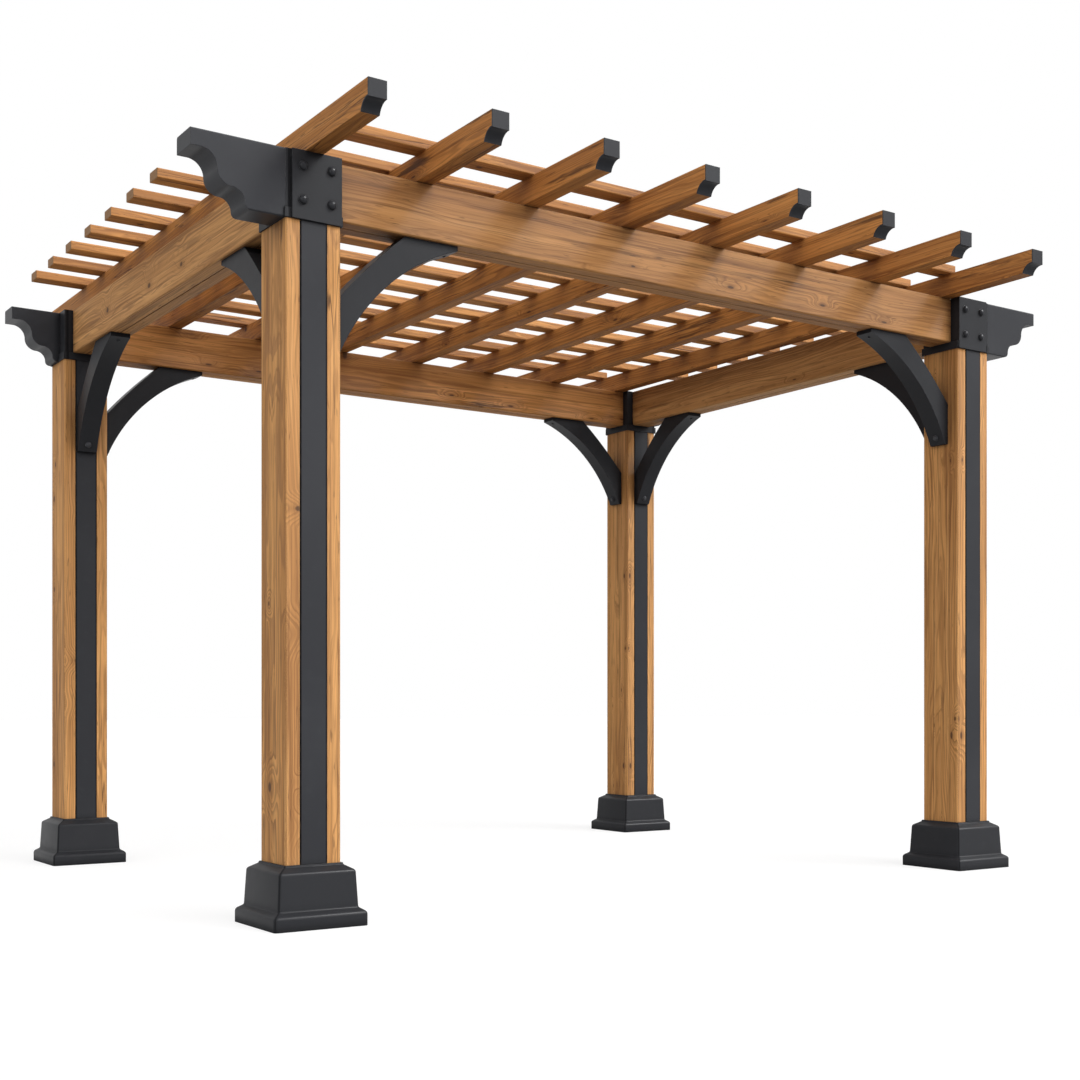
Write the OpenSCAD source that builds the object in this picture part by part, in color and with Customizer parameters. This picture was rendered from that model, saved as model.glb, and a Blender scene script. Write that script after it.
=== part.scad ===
// Open timber pergola with metal post skirts, corner connectors, knee braces and moulded tails.
// Millimetres. +X runs along the front beam, +Y to the rear, +Z up from the ground.

/* [Layout] */
// distance between post centres along the front beam
post_pitch_x = 3000; // [2400:10:4200]
// distance between post centres from front to rear
post_pitch_y = 2250; // [1800:10:3600]
// height of the underside of the corner collars
collar_z = 2150; // [1900:10:2600]

/* [Posts] */
// side of the square post
post_w = 184; // [160:1:240]
// chamfer on the long edges of posts and beams
edge_c = 4; // [2:0.5:8]
// width of the metal strip let into a post face
strip_w = 86; // [60:1:110]
// thickness of the metal strip
strip_t = 6; // [4:0.5:10]
// how far the strip stands out of the post face
strip_proud = 2; // [1:0.5:3]
// open gap on each side of the strip in its groove
strip_gap = 2.5; // [1:0.5:5]

/* [Post skirts] */
// width of the skirt at the ground
skirt_w = 312; // [300:1:360]
// height of the upright lower flange
skirt_flange_h = 42; // [25:1:70]
// rise of the sloped ledge above the flange
skirt_ledge_h = 16; // [6:1:25]
// how far the ledge starts inside the flange on each side
skirt_ledge_in = 5; // [2:0.5:8]
// width of the skirt body at its foot
skirt_body_w = 266; // [255:1:284]
// width of the skirt body at its shoulder
skirt_shoulder_w = 256; // [245:1:274]
// height of the shoulder above the ground
skirt_shoulder_z = 170; // [130:1:200]
// rise of the sloped shoulder
skirt_slope_h = 16; // [8:1:30]
// upright lip around the post
skirt_lip_h = 6; // [4:1:15]
// width of the lip beyond the post on each side
skirt_lip_t = 7; // [4:0.5:12]
// level fold between one face of the skirt and the next
skirt_fold = 1; // [0.5:0.5:2]

/* [Corner connectors] */
// height of the collar below the beams
collar_h = 30; // [20:1:60]
// wall of the collar outside the post
collar_t = 5; // [4:0.5:14]
// wall of the connector box
box_t = 6; // [4:0.5:12]
// thickness of the floor between post and beams
floor_t = 8; // [5:0.5:14]
// thickness of the bolted outer plate
plate_t = 9; // [5:0.5:15]
// how far the outer plate stops short on the tail side
plate_short = 18; // [0:1:30]

/* [Beams and tails] */
// beam width
beam_w = 110; // [90:1:150]
// beam depth
beam_h = 180; // [140:1:240]
// how far beams and tails reach into the connector box
beam_entry = 26; // [15:1:29]
// width of the joint groove under the beams
groove_w = 5; // [3:0.5:10]
// depth of the joint groove under the beams
groove_d = 5; // [3:0.5:10]
// tail thickness, flush with the outer face of the connector
tail_w = 112; // [90:1:130]
// level length of a front tail between collar and moulding
tail_flat_front = 106; // [40:1:220]
// level length of a rear tail between collar and moulding
tail_flat_rear = 6; // [4:1:220]
// height of the upright nose
tail_nose_h = 52; // [30:1:70]
// level step under the nose
tail_step = 30; // [15:1:50]
// radius of the upper cove
tail_cove = 52; // [30:1:60]
// radius of the ovolo
tail_ovolo = 47; // [30:1:55]
// radius of the lower cove
tail_cove_low = 40; // [25:1:48]
// how far the tail plug is set in from the tail sides
plug_in = 18; // [14:1:24]

/* [Knee braces] */
// brace width across the strip
brace_w = 80; // [60:1:110]
// reach of the brace along the beam
brace_beam = 450; // [380:1:560]
// reach of the brace down the post
brace_post = 420; // [360:1:540]
// reach of the upper face along beam and post
brace_back = 255; // [200:1:300]
// rise of the curve of the lower face
brace_sag = 64; // [30:1:70]
// rise of the curve of the upper face
brace_back_sag = 8; // [4:1:16]
// upright nib at each brace end
brace_nib = 16; // [10:1:24]

/* [Rafters] */
// how far the last rafter line stands inside the right post line
rafter_inset = 120; // [0:1:160]
// rafter width
rafter_w = 60; // [45:1:80]
// rafter depth
rafter_h = 84; // [70:1:140]
// distance from the post centre line to the outer face of the end caps
rafter_over = 510; // [400:5:600]
// upright part of the rafter end
rafter_nose_h = 49; // [30:1:60]
// how far the cove under the nose runs back
rafter_cove = 44; // [30:1:60]
// hollow of the cove
rafter_hollow = 10; // [6:0.5:14]
// thickness of the metal end caps
cap_t = 4; // [3:0.5:8]

/* [Slats] */
// number of slats
slat_n = 11; // [8:1:16]
// slat width
slat_w = 74; // [40:1:90]
// slat thickness
slat_t = 33; // [18:1:40]
// chamfer on the slat edges
slat_c = 3; // [1:0.5:6]
// distance of the first and last slat outside the post centre lines
slat_out = 75; // [0:5:200]
// distance from the post centre line to the ends of the long slats
slat_over = 240; // [150:5:400]
// slats at the front that stop on the first and last rafter
short_front = 3; // [0:1:4]
// slats at the rear that stop on the first and last rafter
short_rear = 1; // [0:1:4]
// bearing of the short slats on the first and last rafter
short_bearing = 20; // [10:1:40]

/* [Hidden] */
$fn = 96;
half_x = post_pitch_x / 2;
half_y = post_pitch_y / 2;
post_r = post_w / 2;
skirt_top = skirt_shoulder_z + skirt_slope_h + skirt_lip_h;
beam_z = collar_z + collar_h;
beam_top = beam_z + beam_h;
beam_r = beam_w / 2;
rafter_z = beam_top;
rafter_top = rafter_z + rafter_h;
beam_end = max(post_r - beam_entry, beam_r + 2);
rafter_n = 8;
rafter_pitch = (post_pitch_x - rafter_inset) / (rafter_n - 1);
rafter_drop = max(rafter_h - rafter_nose_h, rafter_hollow);
slat_span = post_pitch_y + 2 * slat_out;
slat_pitch = slat_span / (slat_n - 1);
strip_in = strip_t - strip_proud;
collar_r = post_r + collar_t;
tail_h = collar_h + beam_h;
tail_drop = tail_h - tail_nose_h;
tail_fit = min(1, (tail_drop - 8) / (tail_cove + tail_ovolo + tail_cove_low));
cove_r = tail_cove * tail_fit;
ovolo_r = tail_ovolo * tail_fit;
low_r = tail_cove_low * tail_fit;
tail_low = tail_drop - cove_r - ovolo_r - low_r;
tail_y = post_r - tail_w / 2;
plug_w = tail_w - 2 * plug_in;
rafter_end = rafter_over - cap_t;
wood_c = [0.62, 0.40, 0.21];
metal_c = [0.16, 0.165, 0.175];

// square with chamfered corners, centred
module eased(w, h, c) {
    polygon([
        [-w / 2 + c, -h / 2], [w / 2 - c, -h / 2], [w / 2, -h / 2 + c], [w / 2, h / 2 - c],
        [w / 2 - c, h / 2], [-w / 2 + c, h / 2], [-w / 2, h / 2 - c], [-w / 2, -h / 2 + c]
    ]);
}

module post_section() {
    eased(post_w, post_w, edge_c);
}

// put children on the corner with signs sx and sy, mirrored so that +X and +Y point outward
module at_corner(sx, sy) {
    translate([sx * half_x, sy * half_y, 0])
        mirror([sx < 0 ? 1 : 0, 0, 0])
            mirror([0, sy < 0 ? 1 : 0, 0])
                children();
}

// one strip on the +Y face of a post at the origin, wider by gap and thicker by extra for its groove
module strip_bar(gap, extra) {
    translate([-strip_w / 2 - gap, post_r - strip_in, skirt_top])
        cube([strip_w + 2 * gap, strip_t + extra, collar_z - skirt_top]);
}

module post_body() {
    color(wood_c)
        difference() {
            linear_extrude(beam_z - floor_t)
                post_section();
            strip_bar(strip_gap, 1);
            mirror([0, 1, 0])
                strip_bar(strip_gap, 1);
        }
}

module strip_pair() {
    color(metal_c) {
        strip_bar(0, 0);
        mirror([0, 1, 0])
            strip_bar(0, 0);
    }
}

// four-sided taper from width a to width b
module taper(a, b, h) {
    linear_extrude(h, scale = b / a)
        square(a, center = true);
}

module skirt_body() {
    lip_w = post_w + 2 * skirt_lip_t;
    body_z = skirt_flange_h + skirt_ledge_h;
    color(metal_c)
        difference() {
            union() {
                taper(skirt_w, skirt_w, skirt_flange_h);
                translate([0, 0, skirt_flange_h])
                    taper(skirt_w - 2 * skirt_ledge_in, skirt_body_w + 2 * skirt_fold, skirt_ledge_h);
                translate([0, 0, body_z])
                    taper(skirt_body_w, skirt_shoulder_w, skirt_shoulder_z - body_z);
                translate([0, 0, skirt_shoulder_z])
                    taper(skirt_shoulder_w - 2 * skirt_fold, lip_w + 2 * skirt_fold, skirt_slope_h);
                translate([0, 0, skirt_shoulder_z + skirt_slope_h])
                    taper(lip_w, lip_w, skirt_lip_h);
            }
            translate([0, 0, -1])
                linear_extrude(skirt_top + 2)
                    post_section();
        }
}

// beam section standing on z = 0, with the joint groove along its underside
module beam_section() {
    difference() {
        translate([0, beam_h / 2])
            eased(beam_w, beam_h, edge_c);
        translate([-groove_w / 2, -1])
            square([groove_w, groove_d + 1]);
    }
}

// opening in a connector wall that takes a beam end from above
module pocket_section() {
    translate([-beam_r, 0])
        square([beam_w, beam_h + 1]);
}

module along_x(x0, x1) {
    translate([x0, 0, beam_z])
        rotate([90, 0, 90])
            linear_extrude(x1 - x0)
                children();
}

module along_y(y0, y1) {
    translate([0, y1, beam_z])
        rotate([90, 0, 0])
            linear_extrude(y1 - y0)
                children();
}

// connector of the corner where +X and +Y point outward
module connector_body() {
    color(metal_c)
        difference() {
            union() {
                translate([0, 0, collar_z])
                    linear_extrude(collar_h)
                        square(post_w + 2 * collar_t, center = true);
                translate([-post_r, -post_r, beam_z])
                    cube([post_w, post_w, beam_h]);
                translate([-post_r, post_r, collar_z])
                    cube([post_w - plate_short, plate_t, collar_h + beam_h]);
            }
            translate([0, 0, collar_z - 1])
                linear_extrude(collar_h - floor_t + 1)
                    post_section();
            translate([-post_r + box_t, -post_r + box_t, beam_z])
                cube([post_w - 2 * box_t, post_w - 2 * box_t, beam_h + 1]);
            along_x(-post_r - 1, -beam_end)
                pocket_section();
            tail_plug(1);
            along_y(-post_r - 1, -beam_end)
                pocket_section();
        }
}

module beam_x() {
    color(wood_c)
        along_x(-half_x + beam_end, half_x - beam_end)
            beam_section();
}

module beam_y() {
    color(wood_c)
        along_y(-half_y + beam_end, half_y - beam_end)
            beam_section();
}

// stub of a tail inside the connector box, made taller by extra for its pocket
module tail_plug(extra) {
    translate([beam_end, tail_y - plug_w / 2, beam_z])
        cube([post_r + 1 - beam_end, plug_w, beam_h + extra]);
}

// side outline of a tail: x is the distance from the post centre, y the height above the collar underside
module tail_outline(flat) {
    u5 = collar_r + flat;
    u4 = u5 + tail_low;
    u3 = u4 + low_r;
    u2 = u3 + ovolo_r;
    u1 = u2 + cove_r;
    v1 = tail_h - tail_nose_h;
    v2 = v1 - cove_r;
    translate([u1, v1])
        square([tail_step, tail_nose_h]);
    difference() {
        translate([u2, v2])
            square([cove_r, tail_h - v2]);
        translate([u1, v2])
            circle(cove_r);
    }
    translate([u3, v2])
        square([ovolo_r, tail_h - v2]);
    translate([u3, v2])
        circle(ovolo_r);
    difference() {
        translate([u4, tail_low])
            square([low_r, tail_h - tail_low]);
        translate([u3, tail_low])
            circle(low_r);
    }
    translate([u5, tail_low])
        square([tail_low, tail_h - tail_low]);
    intersection() {
        translate([u5, tail_low])
            circle(tail_low);
        translate([u5, 0])
            square([tail_low, tail_low]);
    }
    translate([collar_r, 0])
        square([flat, tail_h]);
    translate([post_r, collar_h])
        square([collar_t + flat, beam_h]);
}

// tail of the corner where +X and +Y point outward
module tail_body(flat) {
    color(metal_c)
        union() {
            tail_plug(0);
            intersection() {
                translate([0, post_r, collar_z])
                    rotate([90, 0, 0])
                        linear_extrude(tail_w)
                            tail_outline(flat);
                translate([post_r, tail_y, collar_z + tail_h / 2])
                    rotate([90, 0, 90])
                        linear_extrude(collar_t + flat + tail_drop + tail_step)
                            eased(tail_w, tail_h, edge_c);
            }
        }
}

// side outline of a brace: x along the beam from the post, y from the beam underside
module brace_outline() {
    run = brace_beam - brace_nib;
    drop = brace_post - brace_nib;
    rad = ((run * run + drop * drop) / 4 + brace_sag * brace_sag) / (2 * brace_sag);
    back_rad = (brace_back * brace_back / 2 + brace_back_sag * brace_back_sag) / (2 * brace_back_sag);
    difference() {
        intersection() {
            polygon([
                [0, 0], [brace_beam, 0], [brace_beam, -brace_nib],
                [brace_nib, -brace_post], [0, -brace_post]
            ]);
            translate([brace_back / 2, -brace_back / 2])
                rotate(45)
                    translate([0, brace_back_sag - back_rad])
                        circle(back_rad);
        }
        translate([(brace_beam + brace_nib) / 2, -(brace_post + brace_nib) / 2])
            rotate(atan2(drop, run))
                translate([0, brace_sag - rad])
                    circle(rad);
    }
}

// brace under the front or rear beam, on the corner where +X and +Y point outward
module brace_x_body() {
    color(metal_c)
        translate([-post_r, brace_w / 2, beam_z])
            mirror([1, 0, 0])
                rotate([90, 0, 0])
                    linear_extrude(brace_w)
                        brace_outline();
}

// brace under a side beam, seated on the strip
module brace_y_body() {
    color(metal_c)
        translate([brace_w / 2, -post_r - strip_proud, beam_z])
            mirror([0, 1, 0])
                rotate([90, 0, 90])
                    mirror([0, 0, 1])
                        linear_extrude(brace_w)
                            brace_outline();
}

// end of a rafter grown by t: x is the distance from the post centre line, y the height
module rafter_end_outline(t) {
    chord = sqrt(rafter_cove * rafter_cove + rafter_drop * rafter_drop);
    rad = (chord * chord / 4 + rafter_hollow * rafter_hollow) / (2 * rafter_hollow);
    off = (rad - rafter_hollow) / chord;
    difference() {
        square([rafter_end + t, rafter_h]);
        translate([rafter_end - rafter_cove / 2 + off * rafter_drop, rafter_drop / 2 - off * rafter_cove])
            circle(rad - t);
    }
}

// stand a side outline drawn from the post line on the rear corner line, width rafter_w at x
module rafter_bar(x) {
    translate([x - rafter_w / 2, half_y, rafter_z])
        rotate([90, 0, 90])
            linear_extrude(rafter_w)
                children();
}

function rafter_x(k) = -half_x + (k - 1) * rafter_pitch;

module rafter_body(k) {
    x = rafter_x(k);
    color(wood_c)
        union() {
            rafter_bar(x)
                rafter_end_outline(0);
            mirror([0, 1, 0])
                rafter_bar(x)
                    rafter_end_outline(0);
            translate([x - rafter_w / 2, -half_y - 1, rafter_z])
                cube([rafter_w, post_pitch_y + 2, rafter_h]);
        }
}

module rafter_caps_body() {
    color(metal_c)
        for (k = [1 : rafter_n])
            rafter_bar(rafter_x(k))
                difference() {
                    rafter_end_outline(cap_t);
                    rafter_end_outline(0);
                }
}

module slats_body() {
    long_end = half_x + slat_over;
    short_end = half_x - rafter_w / 2 + short_bearing;
    color(wood_c)
        for (k = [0 : slat_n - 1]) {
            is_short = k < short_front || k >= slat_n - short_rear;
            left_end = is_short ? short_end : long_end;
            right_end = is_short ? short_end - rafter_inset : long_end;
            translate([-left_end, -slat_span / 2 + k * slat_pitch, rafter_top + slat_t / 2])
                rotate([90, 0, 90])
                    linear_extrude(left_end + right_end)
                        eased(slat_w, slat_t, slat_c);
        }
}

module post_front_left() {
    at_corner(-1, -1)
        post_body();
}

module strips_front_left() {
    at_corner(-1, -1)
        strip_pair();
}

module skirt_front_left() {
    at_corner(-1, -1)
        skirt_body();
}

module connector_front_left() {
    at_corner(-1, -1)
        connector_body();
}

module tail_front_left() {
    at_corner(-1, -1)
        tail_body(tail_flat_front);
}

module brace_front_left_x() {
    at_corner(-1, -1)
        brace_x_body();
}

module brace_front_left_y() {
    at_corner(-1, -1)
        brace_y_body();
}

module post_front_right() {
    at_corner(1, -1)
        post_body();
}

module strips_front_right() {
    at_corner(1, -1)
        strip_pair();
}

module skirt_front_right() {
    at_corner(1, -1)
        skirt_body();
}

module connector_front_right() {
    at_corner(1, -1)
        connector_body();
}

module tail_front_right() {
    at_corner(1, -1)
        tail_body(tail_flat_front);
}

module brace_front_right_x() {
    at_corner(1, -1)
        brace_x_body();
}

module brace_front_right_y() {
    at_corner(1, -1)
        brace_y_body();
}

module post_rear_left() {
    at_corner(-1, 1)
        post_body();
}

module strips_rear_left() {
    at_corner(-1, 1)
        strip_pair();
}

module skirt_rear_left() {
    at_corner(-1, 1)
        skirt_body();
}

module connector_rear_left() {
    at_corner(-1, 1)
        connector_body();
}

module tail_rear_left() {
    at_corner(-1, 1)
        tail_body(tail_flat_rear);
}

module brace_rear_left_x() {
    at_corner(-1, 1)
        brace_x_body();
}

module brace_rear_left_y() {
    at_corner(-1, 1)
        brace_y_body();
}

module post_rear_right() {
    at_corner(1, 1)
        post_body();
}

module strips_rear_right() {
    at_corner(1, 1)
        strip_pair();
}

module skirt_rear_right() {
    at_corner(1, 1)
        skirt_body();
}

module connector_rear_right() {
    at_corner(1, 1)
        connector_body();
}

module tail_rear_right() {
    at_corner(1, 1)
        tail_body(tail_flat_rear);
}

module brace_rear_right_x() {
    at_corner(1, 1)
        brace_x_body();
}

module brace_rear_right_y() {
    at_corner(1, 1)
        brace_y_body();
}

module beam_front() {
    translate([0, -half_y, 0])
        beam_x();
}

module beam_rear() {
    translate([0, half_y, 0])
        beam_x();
}

module beam_left() {
    translate([-half_x, 0, 0])
        beam_y();
}

module beam_right() {
    translate([half_x, 0, 0])
        beam_y();
}

module rafter_1() {
    rafter_body(1);
}

module rafter_2() {
    rafter_body(2);
}

module rafter_3() {
    rafter_body(3);
}

module rafter_4() {
    rafter_body(4);
}

module rafter_5() {
    rafter_body(5);
}

module rafter_6() {
    rafter_body(6);
}

module rafter_7() {
    rafter_body(7);
}

module rafter_8() {
    rafter_body(8);
}

module rafter_caps_rear() {
    rafter_caps_body();
}

module rafter_caps_front() {
    mirror([0, 1, 0])
        rafter_caps_body();
}

module slats() {
    slats_body();
}

post_front_left();
post_front_right();
post_rear_left();
post_rear_right();
strips_front_left();
strips_front_right();
strips_rear_left();
strips_rear_right();
skirt_front_left();
skirt_front_right();
skirt_rear_left();
skirt_rear_right();
connector_front_left();
connector_front_right();
connector_rear_left();
connector_rear_right();
beam_front();
beam_rear();
beam_left();
beam_right();
tail_front_left();
tail_front_right();
tail_rear_left();
tail_rear_right();
brace_front_left_x();
brace_front_right_x();
brace_rear_left_x();
brace_rear_right_x();
brace_front_left_y();
brace_front_right_y();
brace_rear_left_y();
brace_rear_right_y();
rafter_1();
rafter_2();
rafter_3();
rafter_4();
rafter_5();
rafter_6();
rafter_7();
rafter_8();
rafter_caps_front();
rafter_caps_rear();
slats();
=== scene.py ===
import math
import bmesh
import bpy
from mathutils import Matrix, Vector


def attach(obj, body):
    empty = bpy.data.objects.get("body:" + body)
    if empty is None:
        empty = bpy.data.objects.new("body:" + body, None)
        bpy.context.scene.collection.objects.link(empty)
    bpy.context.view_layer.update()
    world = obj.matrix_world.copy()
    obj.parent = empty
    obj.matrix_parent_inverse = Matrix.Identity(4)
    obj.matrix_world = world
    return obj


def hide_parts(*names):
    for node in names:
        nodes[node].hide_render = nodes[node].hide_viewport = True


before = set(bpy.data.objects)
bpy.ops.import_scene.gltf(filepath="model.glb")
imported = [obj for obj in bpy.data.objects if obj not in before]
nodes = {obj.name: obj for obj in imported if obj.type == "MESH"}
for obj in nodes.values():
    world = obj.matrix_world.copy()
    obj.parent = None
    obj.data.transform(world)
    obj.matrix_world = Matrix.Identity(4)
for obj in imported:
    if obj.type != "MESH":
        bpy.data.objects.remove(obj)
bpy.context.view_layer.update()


# Posts: four square solid softwood posts, planed and given one coat of warm brown stain.
# They stand on the ground inside the skirts and carry the connectors on their sawn tops.
# The grain runs up the post, with flat-sawn figure, a few knots and drying checks.
post_x, post_y, post_half = 1.5, 1.125, 0.092
corners = [
    ("front_left", -1, -1), ("front_right", 1, -1), ("rear_left", -1, 1), ("rear_right", 1, 1),
]
wood_tones = {
    "Pale wood": (0.760, 0.400, 0.150), "Early wood": (0.640, 0.308, 0.102),
    "Late wood": (0.450, 0.200, 0.060), "Streak": (0.190, 0.072, 0.020),
    "Knot": (0.045, 0.018, 0.008), "End wood": (0.300, 0.180, 0.098),
}
groove_shade_black = (0.004, 0.0035, 0.003, 1.0)


def put(tree, kind, inputs=None, **settings):
    made = tree.nodes.new(kind)
    for key, value in settings.items():
        setattr(made, key, value)
    for key, value in (inputs or {}).items():
        socket = made.inputs[key]
        if isinstance(value, bpy.types.NodeSocket):
            tree.links.new(value, socket)
        else:
            socket.default_value = value
    return made


def maths(tree, operation, a, b=0.0, c=0.0):
    return put(tree, "ShaderNodeMath", {0: a, 1: b, 2: c}, operation=operation).outputs[0]


def times(tree, a, b):
    return maths(tree, "MULTIPLY", a, b)


def plus(tree, base, value, amount):
    return maths(tree, "MULTIPLY_ADD", value, amount, base)


def ramp(tree, value, low, high):
    made = put(
        tree, "ShaderNodeMapRange", {"Value": value, "From Min": low, "From Max": high},
        interpolation_type="SMOOTHSTEP",
    )
    return made.outputs["Result"]


def blend(tree, amount, first, second):
    made = put(tree, "ShaderNodeMix", {0: amount, 6: first, 7: second}, data_type="RGBA")
    return made.outputs[2]


def lay(tree, tone, colour, mask, amount):
    return blend(tree, times(tree, mask, amount), tone, colour)


def noise(tree, vector, detail, roughness):
    made = put(
        tree, "ShaderNodeTexNoise",
        {"Vector": vector, "Scale": 1.0, "Detail": detail, "Roughness": roughness},
    )
    return made.outputs["Fac"]


def open_group(name, vectors, values, colours):
    tree = bpy.data.node_groups.new(name, "ShaderNodeTree")
    for labels, kind in ((vectors, "Vector"), (values, "Float"), (colours, "Color")):
        for label in labels:
            tree.interface.new_socket(name=label, in_out="INPUT", socket_type="NodeSocket" + kind)
    for label, kind in (("Tone", "Color"), ("Sheen", "Float"), ("Relief", "Float")):
        tree.interface.new_socket(name=label, in_out="OUTPUT", socket_type="NodeSocket" + kind)
    takes, gives = tree.nodes.new("NodeGroupInput"), tree.nodes.new("NodeGroupOutput")
    return tree, takes.outputs, gives.inputs


grain, take, give = open_group(
    "timber_grain", [],
    ["Along", "Across", "Depth", "Board", "Pith", "End", "Edge", "Corner", "Gap", "Wild"],
    wood_tones,
)
board_shift = (3.17, 1.73, 7.31)
place = put(grain, "ShaderNodeCombineXYZ", {0: take["Across"], 1: take["Depth"], 2: take["Along"]})
shift = put(grain, "ShaderNodeCombineXYZ", {
    axis: times(grain, take["Board"], step) for axis, step in enumerate(board_shift)
})
spot = put(
    grain, "ShaderNodeVectorMath", {0: place.outputs[0], 1: shift.outputs[0]}, operation="ADD",
).outputs[0]


def figure(across, along, detail, roughness):
    stretch = put(
        grain, "ShaderNodeVectorMath", {0: spot, 1: (across, across, along)}, operation="MULTIPLY",
    )
    return noise(grain, stretch.outputs[0], detail, roughness)


# Growth rings stand round the pith, and knots are branches that point away from it.
rings_per_metre, layers_per_metre, end_ring_rate = 88.0, 210.0, 1500.0
knots_round, knots_along, knot_free = 1.2, 3.7, 0.60
from_pith = maths(grain, "ADD", take["Across"], take["Pith"])
round_pith = maths(grain, "ARCTAN2", take["Depth"], from_pith)
ring_reach = maths(grain, "SQRT", maths(
    grain, "ADD", times(grain, from_pith, from_pith), times(grain, take["Depth"], take["Depth"]),
))
branch = put(grain, "ShaderNodeCombineXYZ", {
    0: plus(grain, times(grain, take["Board"], 2.71), round_pith, knots_round),
    1: plus(grain, times(grain, take["Board"], 5.33), take["Along"], knots_along),
})
knot_cell = put(
    grain, "ShaderNodeTexVoronoi", {"Vector": branch.outputs[0], "Scale": 1.0},
    voronoi_dimensions="2D",
).outputs
knot_pick = put(grain, "ShaderNodeSeparateColor", {0: knot_cell["Color"]}).outputs
knot_here = maths(grain, "GREATER_THAN", knot_pick[0], knot_free)
knot_size = plus(grain, 0.55, knot_pick[1], 0.75)
knot_far = maths(grain, "DIVIDE", knot_cell["Distance"], knot_size)
knot_pull, knot_halo, knot_core = [
    times(grain, ramp(grain, knot_far, outer, inner), knot_here)
    for outer, inner in ((0.36, 0.0), (0.17, 0.03), (0.058, 0.030))
]
for sway, amount in (
    (figure(4.2, 0.50, 3.0, 0.55), 0.20),
    (figure(24.0, 1.9, 3.0, 0.6), 0.014),
    (knot_pull, 0.042),
):
    ring_reach = plus(grain, ring_reach, sway, amount)
ring_place = maths(grain, "FRACT", times(grain, ring_reach, rings_per_metre))
ring_line = times(grain, ramp(grain, ring_place, 0.25, 0.90), ramp(grain, ring_place, 1.0, 0.93))
ring_line = times(grain, ring_line, ramp(grain, figure(9.0, 0.7, 2.0, 0.5), 0.34, 0.62))
layer = put(grain, "ShaderNodeCombineXYZ", {
    0: times(grain, ring_reach, layers_per_metre),
    1: plus(grain, take["Board"], take["Along"], 0.9),
    2: times(grain, take["Board"], 3.1),
})
layers = noise(grain, layer.outputs[0], 2.0, 0.6)

# Streaks and fibres run along the board; checks are fine cracks from drying.
broad = figure(5.5, 0.50, 3.0, 0.55)
bands = figure(20.0, 0.62, 5.0, 0.62)
lines = figure(62.0, 0.95, 4.0, 0.62)
gleam = figure(44.0, 0.80, 4.0, 0.62)
flame = figure(38.0, 2.4, 3.0, 0.55)
fibre = figure(240.0, 6.0, 3.0, 0.6)
pores = figure(640.0, 22.0, 2.0, 0.5)
wild = ramp(grain, figure(30.0, 2.0, 4.0, 0.6), 0.595, 0.680)
ticks = ramp(grain, figure(130.0, 12.0, 2.0, 0.5), 0.665, 0.740)
check_line = maths(grain, "ABSOLUTE", maths(grain, "SUBTRACT", figure(26.0, 0.9, 2.0, 0.5), 0.5))
check_zone = ramp(grain, figure(7.0, 1.1, 1.0, 0.5), 0.55, 0.63)
check_mark = times(grain, ramp(grain, check_line, 0.014, 0.004), check_zone)

# The stain: early and late wood first, then pale gleams, brown streaks, dark marks and lighter
# edges.
tone = blend(grain, ramp(grain, bands, 0.36, 0.66), take["Early wood"], take["Late wood"])
tone = lay(grain, tone, take["Pale wood"], ramp(grain, gleam, 0.52, 0.70), 0.55)
for mask, amount in (
    (ring_line, 0.50),
    (ramp(grain, layers, 0.50, 0.68), 0.50),
    (ramp(grain, lines, 0.54, 0.68), 0.62),
    (ramp(grain, broad, 0.48, 0.74), 0.45),
    (ramp(grain, fibre, 0.50, 0.70), 0.32),
    (knot_halo, 0.35),
    (ramp(grain, flame, 0.60, 0.72), 0.60),
):
    tone = lay(grain, tone, take["Streak"], mask, amount)
# Dark marks in the knot colour; the painted shade input lays painted shade in nooks and under
# boards here.
for mask, amount in (
    (times(grain, wild, take["Wild"]), 0.75), (ticks, 0.50), (knot_core, 0.80),
    (check_mark, 0.75), (take["Corner"], 0.80),
):
    tone = lay(grain, tone, take["Knot"], mask, amount)
# Edges are painted lighter, partly as wear and partly as painted highlight.
worn_and_lit_edges = times(grain, take["Edge"], ramp(grain, lines, 0.30, 0.62))
tone = lay(grain, tone, take["Pale wood"], worn_and_lit_edges, 0.55)
end_ring = maths(grain, "SINE", times(grain, ring_reach, end_ring_rate))
end_tone = lay(grain, take["End wood"], take["Streak"], ramp(grain, end_ring, -0.3, 0.9), 0.5)
tone = blend(grain, take["End"], tone, end_tone)
# Painted shade: the groove beside each post strip is painted black inside.
tone = blend(grain, take["Gap"], tone, groove_shade_black)
grain.links.new(tone, give["Tone"])
sheen = plus(grain, 0.60, ring_line, -0.06)
grain.links.new(plus(grain, sheen, fibre, 0.16), give["Sheen"])
relief = plus(grain, times(grain, fibre, 0.5), ring_line, 0.35)
relief = plus(grain, relief, pores, 0.25)
grain.links.new(plus(grain, relief, check_mark, -2.0), give["Relief"])


def open_material(name):
    made = bpy.data.materials.new(name)
    made.use_nodes = True
    tree = made.node_tree
    tree.nodes.clear()
    shader = tree.nodes.new("ShaderNodeBsdfPrincipled")
    out = tree.nodes.new("ShaderNodeOutputMaterial")
    tree.links.new(shader.outputs[0], out.inputs[0])
    where = put(tree, "ShaderNodeTexCoord").outputs["Object"]
    return made, tree, shader, put(tree, "ShaderNodeSeparateXYZ", {0: where}).outputs


def round_over(tree, radius):
    return put(tree, "ShaderNodeBevel", {"Radius": radius}, samples=4).outputs[0]


def edge_mask(tree, rounded, flat, sharp):
    square = put(tree, "ShaderNodeNewGeometry").outputs["Normal"]
    facing = put(tree, "ShaderNodeVectorMath", {0: square, 1: rounded}, operation="DOT_PRODUCT")
    return ramp(tree, facing.outputs["Value"], flat, sharp)


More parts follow.
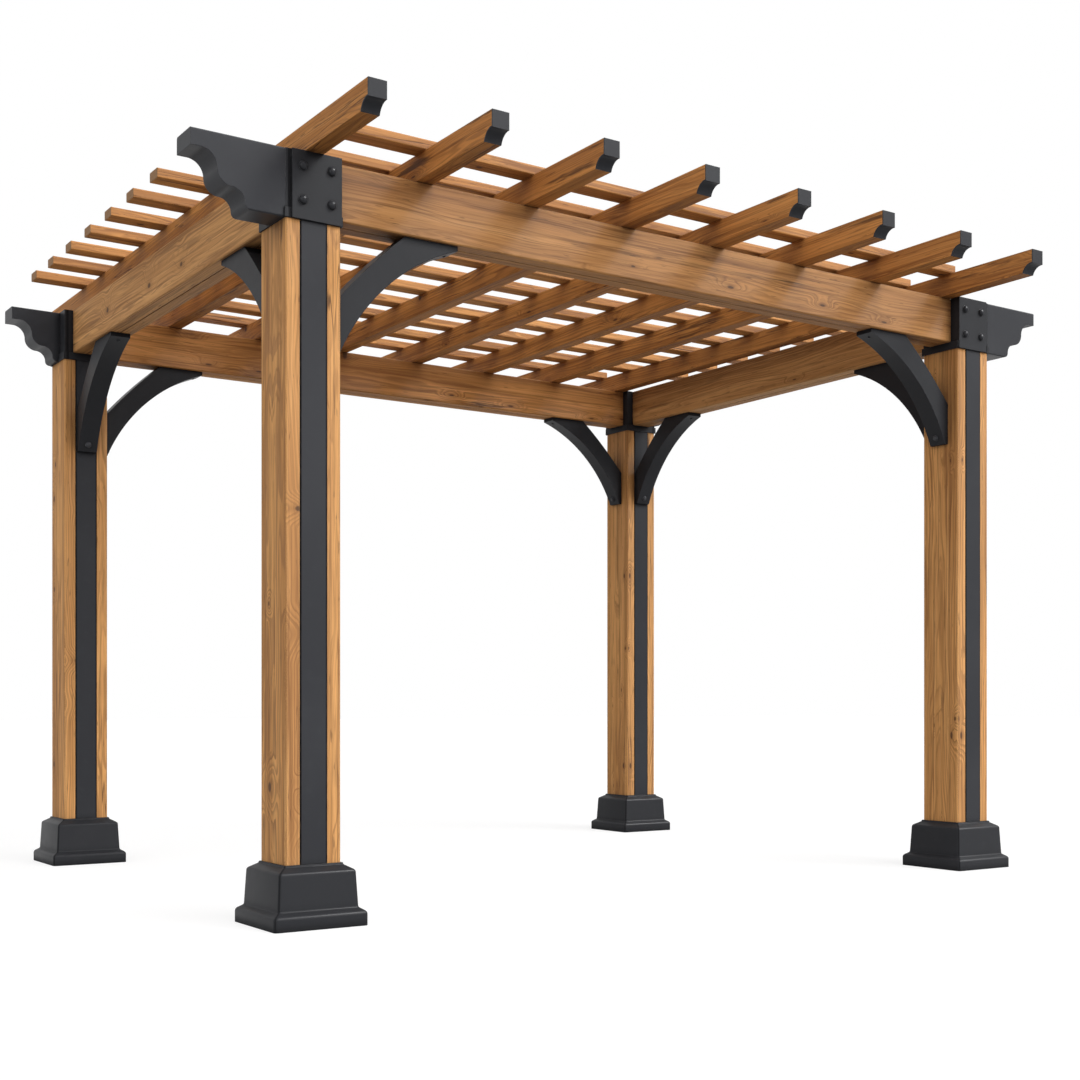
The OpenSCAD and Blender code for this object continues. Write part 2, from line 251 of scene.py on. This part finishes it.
def nook_shade_mask(tree, reach, clear, dark):
    nook = put(tree, "ShaderNodeAmbientOcclusion", {"Distance": reach}, samples=4)
    return ramp(tree, nook.outputs["AO"], clear, dark)


def face_way(tree):
    square = put(tree, "ShaderNodeNewGeometry").outputs["Normal"]
    return put(tree, "ShaderNodeSeparateXYZ", {0: square}).outputs


def finish_surface(tree, shader, surface, rounded, strength, depth, gloss):
    tree.links.new(surface.outputs["Tone"], shader.inputs["Base Color"])
    tree.links.new(surface.outputs["Sheen"], shader.inputs["Roughness"])
    bump = put(tree, "ShaderNodeBump", {
        "Strength": strength, "Distance": depth, "Height": surface.outputs["Relief"],
        "Normal": rounded,
    })
    tree.links.new(bump.outputs[0], shader.inputs["Normal"])
    shader.inputs["Specular IOR Level"].default_value = gloss


def finish_timber(
    tree, shader, *, along, across, depth, board, pith, stain_and_light, wild, end=0.0, gap=0.0, underside_shade=0.0,
):
    rounded = round_over(tree, 0.005)
    # Painted shade: nooks found by ambient occlusion are darkened, and so are downward faces by
    # the underside amount.
    painted_nook_shade = times(tree, nook_shade_mask(tree, 0.10, 0.93, 0.30), 0.75)
    underside = maths(tree, "LESS_THAN", face_way(tree)[2], -0.9)
    wood = put(tree, "ShaderNodeGroup", {
        "Along": along, "Across": across, "Depth": depth, "Board": board, "Pith": pith,
        "End": end, "Gap": gap, "Wild": wild, "Edge": edge_mask(tree, rounded, 0.998, 0.88),
        "Corner": maths(tree, "MAXIMUM", painted_nook_shade, times(tree, underside, underside_shade)),
    }, node_tree=grain)
    # Each piece's stain tint also carries painted light and shade.
    for label, colour in wood_tones.items():
        stained_and_lit = [part * tint for part, tint in zip(colour, stain_and_light)]
        wood.inputs[label].default_value = stained_and_lit + [1.0]
    finish_surface(tree, shader, wood, rounded, strength=0.35, depth=0.0012, gloss=0.25)


def off_line(tree, place, line):
    return maths(tree, "SUBTRACT", maths(tree, "ABSOLUTE", place), line)


def dress(names, material):
    for name in names:
        for held in nodes[name].material_slots:
            held.material = material


def each_corner(prefix, ending=""):
    return [prefix + name + ending for name, sx, sy in corners]


# Painted shade: the walls and bottom of the groove beside each strip are painted black.
groove_clear, groove_black = 0.0464, 0.0456
post_timber, tree, shader, at = open_material("post_timber")
post_across = off_line(tree, at[0], post_x)
# The posts' stain is tinted lighter and cooler as painted light.
finish_timber(
    tree, shader, along=at[2], across=post_across, depth=off_line(tree, at[1], post_y),
    board=plus(tree, maths(tree, "SIGN", at[1]), maths(tree, "SIGN", at[0]), 2.3),
    pith=0.13, stain_and_light=(1.29, 1.36, 1.39), wild=0.25,
    gap=ramp(tree, maths(tree, "ABSOLUTE", post_across), groove_clear, groove_black),
)
dress(each_corner("post_"), post_timber)


# Post strips: flat steel strips let into two opposite faces of each post from skirt to collar.
# They are folded sheet with a satin charcoal powder coat, glued into a shallow groove. Their coat
# is painted lighter as painted light, and a black line is painted along both edges of each strip
# as painted shade.
coat_tones = {
    "Paint": (0.0255, 0.0264, 0.0300), "Rubbed and lit": (0.0900, 0.0915, 0.0970),
    "Dust": (0.0400, 0.0412, 0.0455), "Shade": (0.0050, 0.0050, 0.0058),
}
coat, take, give = open_group("powder_coat", ["Place"], ["Rub", "Corner", "Polish"], coat_tones)


def coat_noise(scale, detail, roughness):
    spread = put(
        coat, "ShaderNodeVectorMath", {0: take["Place"], 1: (scale, scale, scale)},
        operation="MULTIPLY",
    )
    return noise(coat, spread.outputs[0], detail, roughness)


# Worn edges are painted lighter; this is partly wear and partly painted highlight.
edge = edge_mask(coat, round_over(coat, 0.004), 0.995, 0.86)
worn_and_lit_edge = times(coat, edge, ramp(coat, coat_noise(38.0, 4.0, 0.6), 0.40, 0.66))
worn_and_lit_edge = times(coat, worn_and_lit_edge, take["Rub"])
cloud = coat_noise(2.6, 3.0, 0.5)
mottle = coat_noise(26.0, 4.0, 0.5)
peel = coat_noise(520.0, 2.0, 0.5)
tone = lay(coat, take["Paint"], take["Dust"], ramp(coat, cloud, 0.40, 0.72), 0.30)
tone = lay(coat, tone, take["Dust"], ramp(coat, mottle, 0.52, 0.80), 0.16)
# Painted shade: nooks and the painted shade lines are laid in the Shade colour.
tone = lay(coat, tone, take["Shade"], take["Corner"], 0.85)
tone = blend(coat, worn_and_lit_edge, tone, take["Rubbed and lit"])
coat.links.new(tone, give["Tone"])
sheen = plus(coat, 0.29, mottle, 0.12)
sheen = plus(coat, sheen, cloud, 0.08)
sheen = plus(coat, sheen, take["Corner"], 0.40)
coat.links.new(maths(coat, "SUBTRACT", sheen, take["Polish"]), give["Sheen"])
coat.links.new(plus(coat, peel, mottle, 0.3), give["Relief"])


# Each part's coat colours are multiplied by a lift, as painted light, and a painted shade line can
# be added.
def charcoal(name, edge_wear_and_light, round_off, painted_light_lift=1.0, polish=0.0, shade_line=None):
    made, tree, shader, at = open_material(name)
    shade_mask = nook_shade_mask(tree, 0.03, 0.97, 0.52)
    if shade_line:
        off_x, off_y = off_line(tree, at[0], post_x), off_line(tree, at[1], post_y)
        shade_mask = maths(tree, "MAXIMUM", shade_mask, shade_line(tree, off_x, off_y))
    paint = put(tree, "ShaderNodeGroup", {
        "Place": put(tree, "ShaderNodeTexCoord").outputs["Object"],
        "Rub": edge_wear_and_light, "Polish": polish, "Corner": shade_mask,
    }, node_tree=coat)
    for label, colour in coat_tones.items():
        paint.inputs[label].default_value = [part * painted_light_lift for part in colour] + [1.0]
    rounded = round_over(tree, round_off)
    finish_surface(tree, shader, paint, rounded, strength=0.18, depth=0.0004, gloss=0.09)
    return made


# Painted shade: a black line along both edges of each strip's face.
def strip_edge_shade(tree, off_x, off_y):
    edge_shade_from, edge_shade_black = 0.0385, 0.0412
    return ramp(tree, maths(tree, "ABSOLUTE", off_x), edge_shade_from, edge_shade_black)


strip_coat = charcoal("strip_coat", 0.35, 0.0015, painted_light_lift=1.4, shade_line=strip_edge_shade)
dress(each_corner("strips_"), strip_coat)


# Post skirts: stepped covers of pressed steel that hide the foot of each post.
# Every fold is a soft round from the press, and the upright corners are rounded too.
# They slip over the post before it is stood up, and are powder coated charcoal.
skirt_bore, bore_bend, outer_bend, bend_growth = 0.0921, 0.004, 0.006, 0.09
corner_steps, fold_steps = 7, 6
skirt_folds = [
    ((0.0921, 0.0000), 0.0), ((0.1560, 0.0000), 0.0015), ((0.1560, 0.0425), 0.0080),
    ((0.1345, 0.0560), 0.0050), ((0.1283, 0.1700), 0.0070), ((0.0995, 0.1865), 0.0024),
    ((0.0990, 0.1920), 0.0020), ((0.0921, 0.1920), 0.0),
]


# Painted shade: a dark line along each corner mitre, where the mesh has no seam.
def skirt_mitre_shade(tree, off_x, off_y):
    mitre_clear, mitre_dark = 0.0060, 0.0012
    apart = maths(tree, "SUBTRACT", maths(tree, "ABSOLUTE", off_x), maths(tree, "ABSOLUTE", off_y))
    return times(tree, ramp(tree, maths(tree, "ABSOLUTE", apart), mitre_clear, mitre_dark), 0.85)


# The skirts' coat is painted a little lighter as painted light.
skirt_coat = charcoal("skirt_coat", 0.25, 0.002, painted_light_lift=1.05, shade_line=skirt_mitre_shade)


def softened(folds):
    path = []
    for k, (here, reach) in enumerate(folds):
        here = Vector(here)
        before, after = Vector(folds[k - 1][0]), Vector(folds[(k + 1) % len(folds)][0])
        if reach == 0.0:
            path.append(here)
            continue
        enter = here + (before - here).normalized() * reach
        leave = here + (after - here).normalized() * reach
        for step in range(fold_steps + 1):
            t = step / fold_steps
            path.append(enter * (1 - t) ** 2 + here * 2 * t * (1 - t) + leave * t ** 2)
    return path


def settle(mesh, name, coats):
    data = bpy.data.meshes.new(name)
    bmesh.ops.recalc_face_normals(mesh, faces=mesh.faces)
    mesh.to_mesh(data)
    mesh.free()
    piece = bpy.data.objects.new(name, data)
    bpy.context.scene.collection.objects.link(piece)
    for finish in coats:
        data.materials.append(finish)
    for face in data.polygons:
        face.use_smooth = True
    data.set_sharp_from_angle(angle=math.radians(40))
    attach(piece, "root")
    return piece


for name, sx, sy in corners:
    skirt = bmesh.new()
    rings = []
    for half, height in softened(skirt_folds):
        in_bore = half < skirt_bore + 0.0004
        bend = bore_bend if in_bore else outer_bend + bend_growth * (half - skirt_bore)
        ring = []
        for quarter, (side_x, side_y) in enumerate(((1, 1), (-1, 1), (-1, -1), (1, -1))):
            for step in range(corner_steps + 1):
                angle = math.radians(90 * quarter + 90 * step / corner_steps)
                ring.append(skirt.verts.new((
                    sx * post_x + (half - bend) * side_x + bend * math.cos(angle),
                    sy * post_y + (half - bend) * side_y + bend * math.sin(angle),
                    height,
                )))
        rings.append(ring)
    for k, low in enumerate(rings):
        high = rings[(k + 1) % len(rings)]
        for j in range(len(low)):
            after = (j + 1) % len(low)
            skirt.faces.new([low[j], low[after], high[after], high[j]])
    cover = settle(skirt, "skirt_cover_" + name, [skirt_coat])
    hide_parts("skirt_" + name)


# Corner connectors: welded steel boxes on the post heads, with a collar and an outer plate.
# Each outer plate is held by dome-headed bolts on round washers, in the same charcoal coat painted
# a little lighter as painted light, and a dark band is painted on the box beside the plate's edge
# as painted shadow.
plate_w, plate_h, plate_low, plate_thick = 0.166, 0.210, 2.150, 0.009
plate_bolts_across, plate_bolts_up, plate_bolt_sides = (0.21, 0.79), (0.28, 0.77), 28


# Painted shadow: a dark band on the box beside the plate's proud edge.
def plate_edge_shadow(tree, off_x, off_y):
    plate_side, tail_side = (0.0742, 0.0746), (0.0870, 0.0830)
    return times(tree, ramp(tree, off_x, *plate_side), ramp(tree, off_x, *tail_side))


connector_coat = charcoal("connector_coat", 0.6, 0.003, shade_line=plate_edge_shadow)
dress(each_corner("connector_"), connector_coat)
bolt_coat = charcoal("bolt_coat", 0.8, 0.001, painted_light_lift=1.2, polish=0.08)


def turned(mesh, profile, centre, axis, sides, coat_number=0):
    out = Vector(axis).normalized()
    side = out.orthogonal().normalized()
    other = out.cross(side)
    rings = []
    for radius, height in profile:
        middle = Vector(centre) + out * height
        if radius == 0.0:
            rings.append([mesh.verts.new(middle)])
            continue
        ring = []
        for k in range(sides):
            angle = 2 * math.pi * k / sides
            ring.append(mesh.verts.new(
                middle + side * radius * math.cos(angle) + other * radius * math.sin(angle)
            ))
        rings.append(ring)
    for low, high in zip(rings, rings[1:]):
        for k in range(sides):
            after = (k + 1) % sides
            if len(high) == 1:
                face = mesh.faces.new([low[k], low[after], high[0]])
            elif len(low) == 1:
                face = mesh.faces.new([low[0], high[after], high[k]])
            else:
                face = mesh.faces.new([low[k], low[after], high[after], high[k]])
            face.material_index = coat_number


def dome(radius, rise, washer, thickness):
    sunk, chamfer, fillet, neck, rounds = 0.001, 0.0012, 0.0005, 0.0008, 7
    seat = thickness + neck
    profile = [
        (0.0, -sunk), (washer, -sunk), (washer, thickness * 0.6), (washer - chamfer, thickness),
        (radius + fillet, thickness), (radius, seat),
    ]
    for k in range(1, rounds):
        angle = math.radians(90.0 * k / rounds)
        profile.append((radius * math.cos(angle), seat + rise * math.sin(angle)))
    profile.append((0.0, seat + rise))
    return profile


plate_bolt = dome(0.0136, 0.0105, 0.0148, 0.0014)
plate_face = post_y + post_half + plate_thick
for name, sx, sy in corners:
    bolts = bmesh.new()
    for across in plate_bolts_across:
        for up in plate_bolts_up:
            bolt_x, bolt_z = post_x - post_half + plate_w * across, plate_low + plate_h * up
            centre = (sx * bolt_x, sy * plate_face, bolt_z)
            turned(bolts, plate_bolt, centre, (0, sy, 0), plate_bolt_sides)
    settle(bolts, "plate_bolts_" + name, [bolt_coat])


# Beams: two long and two side beams, each laminated from two boards with a joint underneath.
# Their ends drop into the connector boxes, and the grain matches the posts.
# The stain is tinted per beam to match how each is lit, as painted light and shade; the front beam
# is darker as painted shade under the rafters.
beam_middle = 2.27
for beam, side, board, stain_and_light in (
    ("beam_front", -1, 2.1, (0.86, 0.86, 0.86)), ("beam_rear", 1, 5.9, (1.16, 1.12, 1.02)),
):
    long_beam_timber, tree, shader, at = open_material(beam + "_timber")
    finish_timber(
        tree, shader, along=at[0], across=maths(tree, "SUBTRACT", at[2], beam_middle),
        depth=maths(tree, "SUBTRACT", times(tree, at[1], side), post_y),
        board=board, pith=0.10, stain_and_light=stain_and_light, wild=0.45,
    )
    dress([beam], long_beam_timber)
side_beam_timber, tree, shader, at = open_material("side_beam_timber")
finish_timber(
    tree, shader, along=at[1], across=maths(tree, "SUBTRACT", at[2], beam_middle),
    depth=off_line(tree, at[0], post_x), board=plus(tree, 9.0, maths(tree, "SIGN", at[0]), 2.7),
    pith=0.11, stain_and_light=(1.14, 1.24, 1.36), wild=0.45,
)
dress(["beam_left", "beam_right"], side_beam_timber)


# Beam tails: moulded ends that carry the long beams past the posts.
# They are folded and welded steel, plugged into the connectors, in the charcoal coat, painted
# lighter on them as painted light.
tail_coat = charcoal("tail_coat", 0.55, 0.003, painted_light_lift=1.5)
dress(each_corner("tail_"), tail_coat)


# Knee braces: arched steel bars between each post and its two beams.
# A bolt near the foot, its coat painted much lighter as a painted highlight, goes through the
# hollow side into the post, and a small screw near the head goes through it into the beam.
brace_run, brace_drop, brace_nib, brace_sag = 0.450, 0.420, 0.016, 0.064
beam_under, strip_face, fixing_inset, fixing_sides = 2.180, 0.094, 0.042, 24
brace_coat = charcoal("brace_coat", 0.6, 0.003)
foot_bolt_coat = charcoal("foot_bolt_coat", 0.8, 0.001, painted_light_lift=2.6, polish=0.14)
foot_bolt = dome(0.0108, 0.0068, 0.0132, 0.0022)
head_screw = dome(0.0052, 0.0022, 0.0064, 0.0010)
for way in ("x", "y"):
    dress(each_corner("brace_", "_" + way), brace_coat)
chord_run, chord_drop = brace_run - brace_nib, brace_drop - brace_nib
arch_radius = ((chord_run ** 2 + chord_drop ** 2) / 4 + brace_sag ** 2) / (2 * brace_sag)
lean = math.atan2(chord_drop, chord_run)
arch_x = (brace_run + brace_nib) / 2 + (arch_radius - brace_sag) * math.sin(lean)
arch_z = -(brace_drop + brace_nib) / 2 - (arch_radius - brace_sag) * math.cos(lean)
foot_turn = math.atan2(-brace_drop - arch_z, brace_nib - arch_x) - fixing_inset
head_turn = math.atan2(-brace_nib - arch_z, brace_run - arch_x) + fixing_inset
for name, sx, sy in corners:
    for way in ("x", "y"):
        fixings = bmesh.new()
        for turn, fixing, coat_number in ((foot_turn, foot_bolt, 0), (head_turn, head_screw, 1)):
            run = arch_x + arch_radius * math.cos(turn)
            rise = arch_z + arch_radius * math.sin(turn)
            if way == "x":
                centre = (sx * (post_x - post_half - run), sy * post_y, beam_under + rise)
                axis = (sx * math.cos(turn), 0, -math.sin(turn))
            else:
                centre = (sx * post_x, sy * (post_y - strip_face - run), beam_under + rise)
                axis = (0, sy * math.cos(turn), -math.sin(turn))
            turned(fixings, fixing, centre, axis, fixing_sides, coat_number)
        settle(fixings, "brace_bolts_" + name + "_" + way, [foot_bolt_coat, bolt_coat])


# Rafters: eight narrow softwood joists laid on edge across the long beams, front to rear.
# The first stands on the left beam and the last just inside the right one.
# They are rougher stuff than the posts, with wild dark streaks; the ends are cut to a cove.
rafter_first, rafter_pitch, rafter_middle = -1.5, 2.88 / 7, 2.402


def evenly_laid(tree, place, first, pitch):
    count = maths(tree, "DIVIDE", maths(tree, "SUBTRACT", place, first - pitch / 2), pitch)
    off_middle = maths(tree, "SUBTRACT", maths(tree, "FRACT", count), 0.5)
    return maths(tree, "FLOOR", count), times(tree, off_middle, pitch)


rafter_timber, tree, shader, at = open_material("rafter_timber")
rafter_number, rafter_across = evenly_laid(tree, at[0], rafter_first, rafter_pitch)
# Their downward faces are darkened as painted shade.
finish_timber(
    tree, shader, along=at[1], across=maths(tree, "SUBTRACT", at[2], rafter_middle),
    depth=rafter_across, board=plus(tree, 14.0, rafter_number, 1.37),
    pith=0.06, stain_and_light=(1.04, 0.92, 0.70), wild=1.00, underside_shade=0.34,
)
dress(["rafter_%d" % k for k in range(1, 9)], rafter_timber)


# Rafter caps: thin pressed plates that cover the end grain of every rafter.
# They follow the upright nose and the cove, and have the same charcoal coat, painted lighter on
# them as painted light.
cap_coat = charcoal("cap_coat", 0.7, 0.0015, painted_light_lift=1.25)
dress(["rafter_caps_front", "rafter_caps_rear"], cap_coat)


# Slats: planed battens laid flat across the rafters and screwed down from above.
# Their edges are eased; the stain is the same, tinted a little lighter, and their sawn ends show
# the rings.
slat_first, slat_pitch, slat_middle = -1.2, 0.24, 2.4605
slat_timber, tree, shader, at = open_material("slat_timber")
slat_number, slat_across = evenly_laid(tree, at[1], slat_first, slat_pitch)
finish_timber(
    tree, shader, along=at[0], across=slat_across,
    depth=maths(tree, "SUBTRACT", at[2], slat_middle),
    board=plus(tree, 27.0, slat_number, 1.61), pith=0.05, stain_and_light=(1.10, 1.04, 0.88), wild=0.30,
    end=maths(tree, "GREATER_THAN", maths(tree, "ABSOLUTE", face_way(tree)[0]), 0.9),
)
dress(["slats"], slat_timber)


# Floor and light: a wide pale floor, an even white surround, one broad soft sun, a fill from
# the left, and two lamps that only make the surfaces shine. The camera stands low at the front
# left corner with its film raised, so uprights stay upright.
floor_half, floor_grey, floor_glow, sky_light = 60.0, 0.30, 0.77, 0.54
white = (1.0, 1.0, 1.0, 1.0)


def plainly_seen(tree):
    seen = tree.nodes.new("ShaderNodeLightPath").outputs
    mirrored = maths(tree, "MAXIMUM", seen["Is Glossy Ray"], seen["Is Transmission Ray"])
    return maths(tree, "MAXIMUM", seen["Is Camera Ray"], mirrored)


ground = bmesh.new()
bmesh.ops.create_grid(ground, x_segments=1, y_segments=1, size=floor_half)
ground_mesh = bpy.data.meshes.new("studio_floor")
ground.to_mesh(ground_mesh)
ground.free()
studio_floor = bpy.data.objects.new("studio_floor", ground_mesh)
bpy.context.scene.collection.objects.link(studio_floor)
floor_paint = bpy.data.materials.new("floor_paint")
floor_paint.use_nodes = True
tree = floor_paint.node_tree
tree.nodes.clear()
matt = put(tree, "ShaderNodeBsdfDiffuse", {"Color": (floor_grey, floor_grey, floor_grey, 1.0)})
glow = put(tree, "ShaderNodeEmission", {
    "Color": white, "Strength": times(tree, plainly_seen(tree), floor_glow),
})
both = put(tree, "ShaderNodeAddShader", {0: matt.outputs[0], 1: glow.outputs[0]})
out = tree.nodes.new("ShaderNodeOutputMaterial")
tree.links.new(both.outputs[0], out.inputs[0])
ground_mesh.materials.append(floor_paint)

surround = bpy.data.worlds.new("surround")
surround.use_nodes = True
bpy.context.scene.world = surround
tree = surround.node_tree
tree.nodes.clear()
level = plus(tree, sky_light, plainly_seen(tree), 1.0 - sky_light)
sky = put(tree, "ShaderNodeBackground", {"Color": white, "Strength": level})
out = tree.nodes.new("ShaderNodeOutputWorld")
tree.links.new(sky.outputs[0], out.inputs[0])

for lamp_name, power, spread, way, shine_only in (
    ("soft_sun", 2.25, 55, (-0.35, 0.80, -0.55), False),
    ("left_fill", 0.62, 60, (0.75, 0.45, -0.35), False),
    ("front_gloss", 5.0, 14, (-0.56, 0.46, -0.70), True),
    ("left_gloss", 0.8, 14, (0.80, 0.53, -0.15), True),
):
    lamp_data = bpy.data.lights.new(lamp_name, "SUN")
    lamp_data.energy = power
    lamp_data.angle = math.radians(spread)
    lamp = bpy.data.objects.new(lamp_name, lamp_data)
    lamp.rotation_euler = Vector(way).to_track_quat("-Z", "Y").to_euler()
    lamp.visible_diffuse = not shine_only
    bpy.context.scene.collection.objects.link(lamp)

picture_size, focal_pixels, horizon_row, film_width = 1080.0, 1510.3, 704.7, 36.0
camera_data = bpy.data.cameras.new("photo_camera")
camera_data.sensor_width = film_width
camera_data.lens = focal_pixels * film_width / picture_size
camera_data.shift_y = (horizon_row - picture_size / 2) / picture_size
camera_data.clip_end = 200.0
photo_camera = bpy.data.objects.new("photo_camera", camera_data)
photo_camera.location = (-3.496, -5.426, 0.678)
photo_camera.rotation_euler = (math.radians(90.0), 0.0, math.radians(-33.9))
bpy.context.scene.collection.objects.link(photo_camera)
bpy.context.scene.camera = photo_camera
bpy.context.scene.view_settings.view_transform = "Standard"
